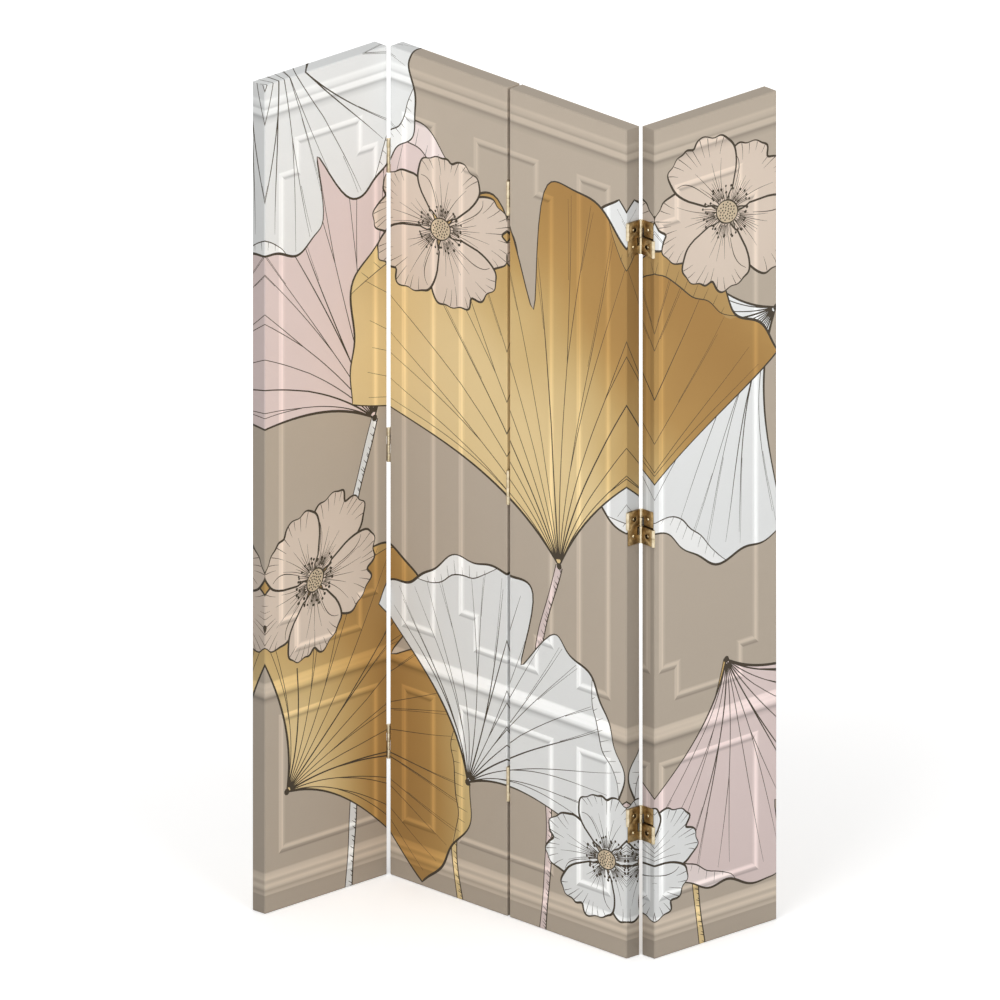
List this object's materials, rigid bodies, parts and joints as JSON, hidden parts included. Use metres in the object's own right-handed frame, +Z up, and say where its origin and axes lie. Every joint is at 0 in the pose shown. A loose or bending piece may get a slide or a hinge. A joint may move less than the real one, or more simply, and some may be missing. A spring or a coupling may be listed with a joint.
{
  "type": "room divider",
  "caption": "Free-standing folding screen of tall printed canvas panels on pine stretcher frames, joined by brass hinges that fold both ways.",
  "frame": {"origin": "on the floor, midway between the two middle panels and midway through their thickness", "axes": "+Z up; X along the two middle panels, which stand in line; their printed front faces -Y"},
  "size_m": [0.7868, 0.7348, 1.8],
  "materials": {
    "pine": "planed, unfinished",
    "printed_canvas": "printed cotton canvas, matt",
    "brass": "polished, slightly tarnished",
    "steel_pin": "drawn wire"
  },
  "bodies": {
    "panel_1": {"panel_1_left_stile": "pine", "panel_1_right_stile": "pine", "panel_1_bottom_rail": "pine", "panel_1_top_rail": "pine", "panel_1_cross_rails": "pine", "panel_1_canvas": "printed_canvas", "hinges_12_left_leaves": "brass"},
    "panel_2": {"panel_2_left_stile": "pine", "panel_2_right_stile": "pine", "panel_2_bottom_rail": "pine", "panel_2_top_rail": "pine", "panel_2_cross_rails": "pine", "panel_2_canvas": "printed_canvas", "hinges_12_right_leaves": "brass", "hinges_23_left_leaves": "brass"},
    "panel_3": {"panel_3_left_stile": "pine", "panel_3_right_stile": "pine", "panel_3_bottom_rail": "pine", "panel_3_top_rail": "pine", "panel_3_cross_rails": "pine", "panel_3_canvas": "printed_canvas", "hinges_23_right_leaves": "brass", "hinges_34_left_leaves": "brass"},
    "panel_4": {"panel_4_left_stile": "pine", "panel_4_right_stile": "pine", "panel_4_bottom_rail": "pine", "panel_4_top_rail": "pine", "panel_4_cross_rails": "pine", "panel_4_canvas": "printed_canvas", "hinges_34_right_leaves": "brass"},
    "upper_links_12": {"hinges_12_upper_links": "brass", "hinges_12_upper_pins": "steel_pin"},
    "lower_links_12": {"hinges_12_lower_links": "brass", "hinges_12_lower_pins": "steel_pin"},
    "upper_links_23": {"hinges_23_upper_links": "brass", "hinges_23_upper_pins": "steel_pin"},
    "lower_links_23": {"hinges_23_lower_links": "brass", "hinges_23_lower_pins": "steel_pin"},
    "upper_links_34": {"hinges_34_upper_links": "brass", "hinges_34_upper_pins": "steel_pin"},
    "lower_links_34": {"hinges_34_lower_links": "brass", "hinges_34_lower_pins": "steel_pin"}
  },
  "joints": [
    {"name": "fold_12_back", "type": "hinge", "parent": "panel_2", "child": "upper_links_12", "pos_m": [-0.353, 0.0184, 0], "axis": [0, 0, -1], "range_deg": [0, 180]},
    {"name": "fold_12_front", "type": "hinge", "parent": "upper_links_12", "child": "panel_1", "pos_m": [-0.353, -0.0184, 0], "axis": [0, 0, -1], "range_deg": [-90, 90]},
    {"name": "link_12_lower", "type": "hinge", "parent": "panel_1", "child": "lower_links_12", "pos_m": [-0.3898, -0.0184, 0], "axis": [0, 0, -1], "range_deg": [-180, 0]},
    {"name": "fold_23_front", "type": "hinge", "parent": "upper_links_23", "child": "panel_2", "pos_m": [0, -0.0184, 0], "axis": [0, 0, 1], "range_deg": [0, 150]},
    {"name": "fold_23_back", "type": "hinge", "parent": "upper_links_23", "child": "panel_3", "pos_m": [0, 0.0184, 0], "axis": [0, 0, -1], "range_deg": [-150, 0]},
    {"name": "link_23_lower", "type": "hinge", "parent": "panel_3", "child": "lower_links_23", "pos_m": [0, -0.0184, 0], "axis": [0, 0, 1], "range_deg": [0, 150]},
    {"name": "fold_34_front", "type": "hinge", "parent": "panel_3", "child": "upper_links_34", "pos_m": [0.353, -0.0184, 0], "axis": [0, 0, 1], "range_deg": [-180, 0]},
    {"name": "fold_34_back", "type": "hinge", "parent": "upper_links_34", "child": "panel_4", "pos_m": [0.353, 0.0184, 0], "axis": [0, 0, 1], "range_deg": [-90, 90]},
    {"name": "link_34_lower", "type": "hinge", "parent": "panel_4", "child": "lower_links_34", "pos_m": [0.3898, 0.0184, 0], "axis": [0, 0, 1], "range_deg": [0, 180]}
  ],
  "couplings": [
    {"joint": "link_12_lower", "follows": "fold_12_back", "ratio": -1},
    {"joint": "link_23_lower", "follows": "fold_23_front", "ratio": 1},
    {"joint": "link_34_lower", "follows": "fold_34_front", "ratio": -1}
  ]
}
